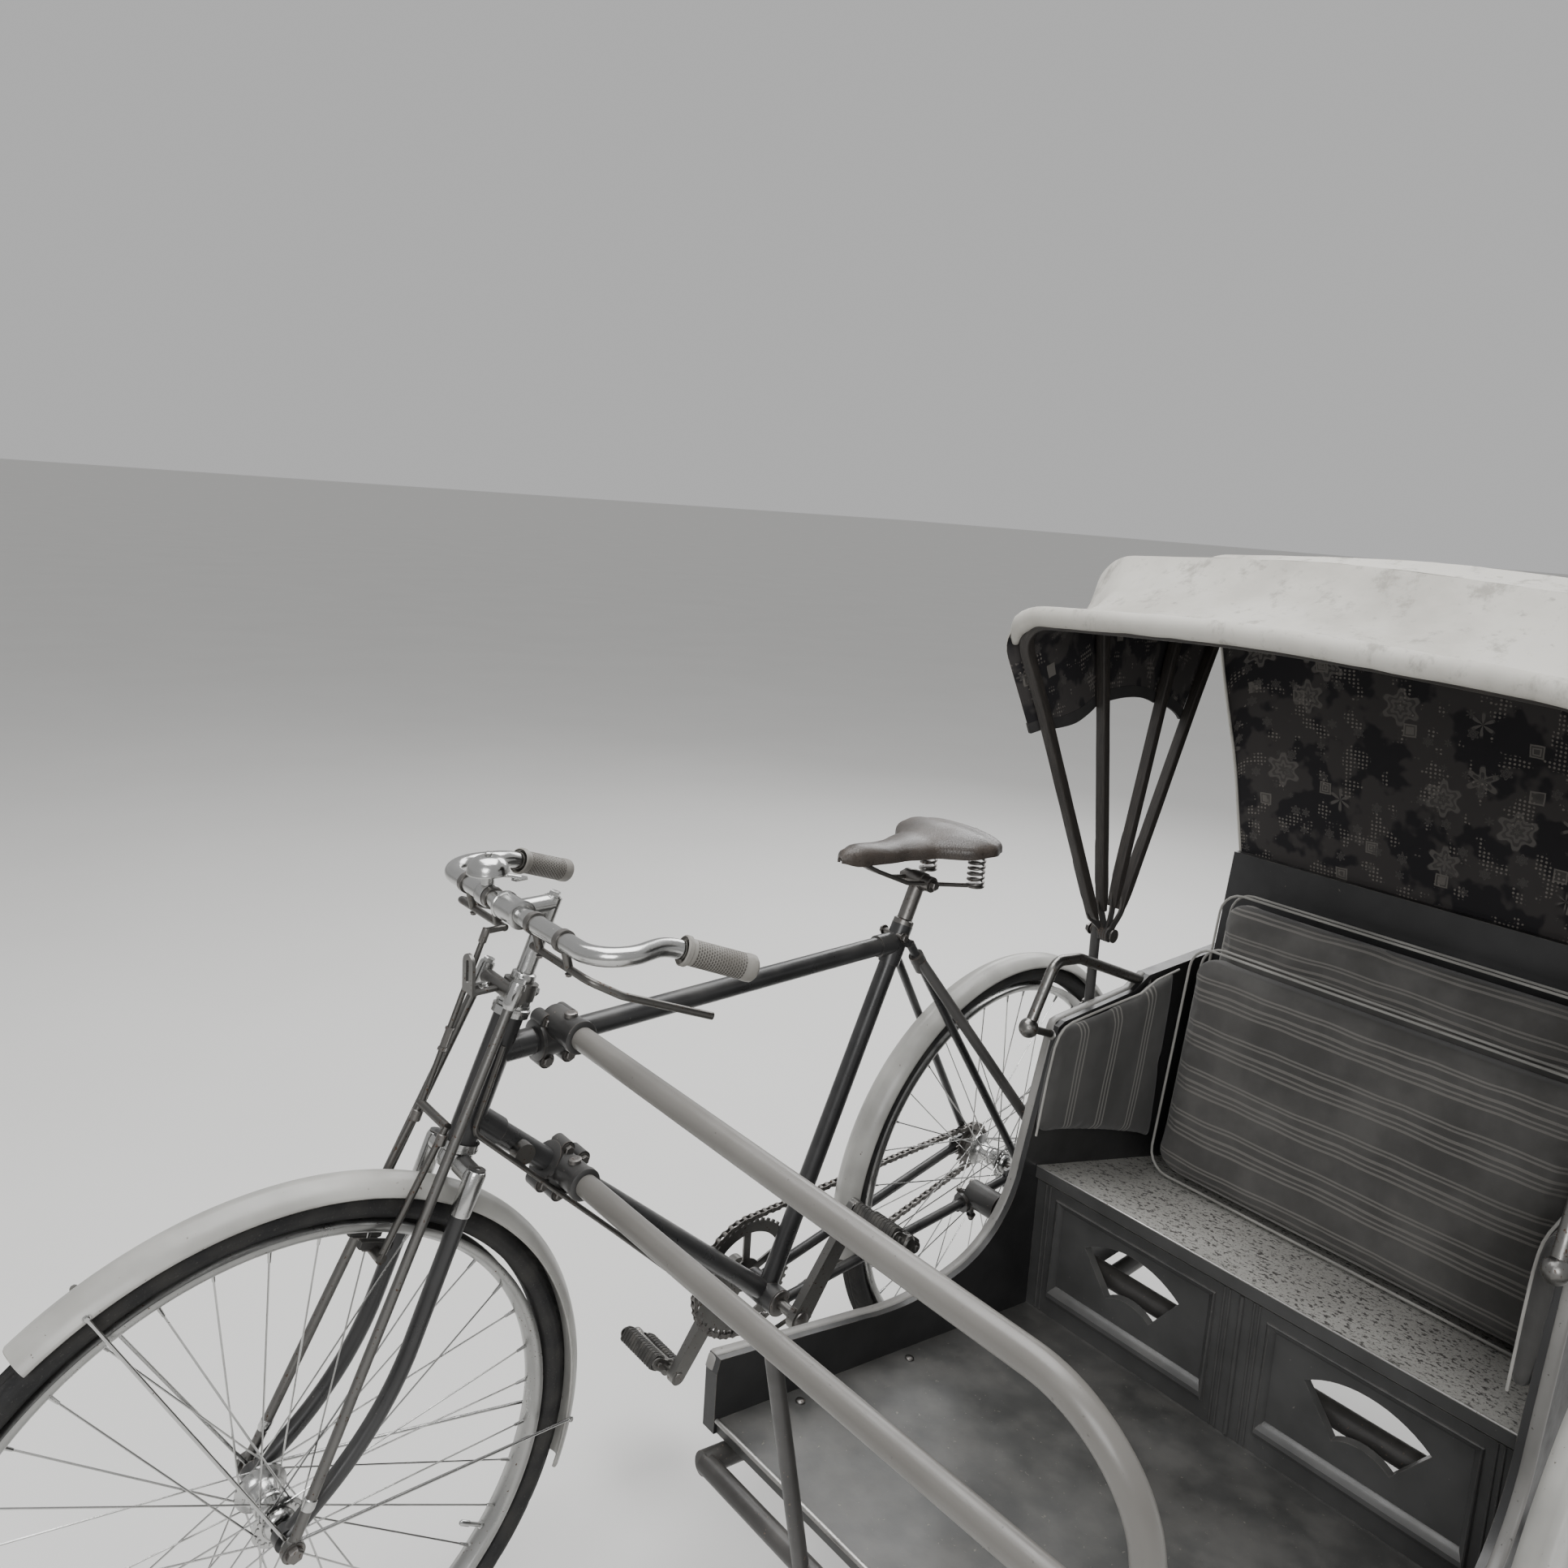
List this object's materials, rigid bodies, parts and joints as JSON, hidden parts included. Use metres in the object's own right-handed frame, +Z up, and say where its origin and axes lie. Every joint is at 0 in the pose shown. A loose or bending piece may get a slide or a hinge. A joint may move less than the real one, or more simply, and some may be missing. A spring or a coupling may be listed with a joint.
{
  "type": "cycle rickshaw",
  "caption": "Cycle rickshaw: a heavy roadster bicycle with a hooded two-seat passenger sidecar clamped to its left side",
  "frame": {"origin": "middle of the bounding box's footprint, on the ground", "axes": "+X forward along the bicycle, +Y to the rider's left where the sidecar is, +Z up"},
  "size_m": [1.9294, 1.3222, 1.46],
  "materials": {
    "frame_paint": "aged gloss enamel",
    "guard_paint": "aged light enamel",
    "tube_paint": "worn light enamel",
    "chrome": "dulled plating",
    "steel": "oily steel",
    "tyre": "dusty",
    "rubber": "worn",
    "leather": "worn",
    "grip_plastic": "worn",
    "body_paint": "aged enamel on plywood",
    "speckled_board": "speckled laminate",
    "bow_wood": "dark varnish",
    "iron": "painted, worn",
    "cushion_cloth": "striped woven cloth",
    "hood_canvas": "printed canvas"
  },
  "bodies": {
    "vehicle": {"head_tube": "frame_paint", "top_tube": "frame_paint", "down_tube": "frame_paint", "seat_tube": "frame_paint", "chain_stays": "frame_paint", "seat_stays": "frame_paint", "saddle_frame": "steel", "saddle_top": "leather", "rear_guard": "guard_paint", "side_guard": "guard_paint", "chain": "steel", "headset": "chrome", "rear_brake": "steel", "frame_clamps": "iron", "upper_side_tube": "tube_paint", "lower_side_tube": "tube_paint", "chassis": "tube_paint", "axle_tube": "iron", "stay_clamp": "iron", "seat_brace": "iron", "outer_rail": "tube_paint", "right_panel": "body_paint", "left_panel": "body_paint", "floor_board": "speckled_board", "seat_front": "body_paint", "seat_board": "speckled_board", "back_board": "body_paint", "seat_cushion": "cushion_cloth", "back_cushion": "cushion_cloth", "arm_pads": "cushion_cloth", "arm_rails": "chrome", "hood_posts": "iron"},
    "steering": {"fork": "frame_paint", "truss_fork": "frame_paint", "handlebar": "chrome", "grips": "grip_plastic", "front_guard": "guard_paint", "front_brake": "chrome", "lamp_bracket": "steel", "bell": "chrome"},
    "front_wheel_body": {"front_wheel": "chrome", "front_tyre": "tyre"},
    "rear_wheel_body": {"rear_wheel": "chrome", "rear_tyre": "tyre"},
    "side_wheel_body": {"side_wheel": "chrome", "side_tyre": "tyre"},
    "crank_body": {"crankset": "chrome"},
    "left_pedal_body": {"pedal_left": "rubber"},
    "right_pedal_body": {"pedal_right": "rubber"},
    "hood_rear": {"bow_3": "bow_wood", "bow_4": "bow_wood", "canopy_rear": "hood_canvas", "canopy_back": "hood_canvas"},
    "hood_second": {"bow_2": "bow_wood", "canopy_middle": "hood_canvas"},
    "hood_first": {"bow_1": "bow_wood", "canopy_front": "hood_canvas"}
  },
  "joints": [
    {"name": "steering", "type": "hinge", "parent": "vehicle", "child": "steering", "pos_m": [0.37503, -0.43125, 0.77844], "axis": [-0.3665, 0, 0.9304], "range_deg": [-42, 42]},
    {"name": "front_wheel_spin", "type": "hinge", "parent": "steering", "child": "front_wheel_body", "pos_m": [0.60975, -0.43125, 0.355], "axis": [0, 1, 0], "continuous": true},
    {"name": "rear_wheel_spin", "type": "hinge", "parent": "vehicle", "child": "rear_wheel_body", "pos_m": [-0.59225, -0.43125, 0.355], "axis": [0, 1, 0], "continuous": true},
    {"name": "side_wheel_spin", "type": "hinge", "parent": "vehicle", "child": "side_wheel_body", "pos_m": [-0.47725, 0.58375, 0.355], "axis": [0, 1, 0], "continuous": true},
    {"name": "crank_turn", "type": "hinge", "parent": "vehicle", "child": "crank_body", "pos_m": [-0.08325, -0.43125, 0.31], "axis": [0, 1, 0], "continuous": true},
    {"name": "left_pedal_turn", "type": "hinge", "parent": "crank_body", "child": "left_pedal_body", "pos_m": [-0.18317, -0.43125, 0.44753], "axis": [0, 1, 0], "continuous": true},
    {"name": "right_pedal_turn", "type": "hinge", "parent": "crank_body", "child": "right_pedal_body", "pos_m": [0.01667, -0.43125, 0.17247], "axis": [0, 1, 0], "continuous": true},
    {"name": "hood_fold", "type": "hinge", "parent": "vehicle", "child": "hood_rear", "pos_m": [-0.56225, 0.14375, 0.843], "axis": [0, -1, 0], "range_deg": [0, 68.7], "deforming": ["canopy_back"]},
    {"name": "hood_second_fold", "type": "hinge", "parent": "hood_rear", "child": "hood_second", "pos_m": [-0.56225, 0.14375, 0.843], "axis": [0, -1, 0], "range_deg": [0, 10.7], "deforming": ["canopy_middle"]},
    {"name": "hood_first_fold", "type": "hinge", "parent": "hood_second", "child": "hood_first", "pos_m": [-0.56225, 0.14375, 0.843], "axis": [0, -1, 0], "range_deg": [0, 6.2], "deforming": ["canopy_front"]}
  ],
  "couplings": [
    {"joint": "hood_second_fold", "follows": "hood_fold", "ratio": 0.1556},
    {"joint": "hood_first_fold", "follows": "hood_fold", "ratio": 0.0902}
  ]
}
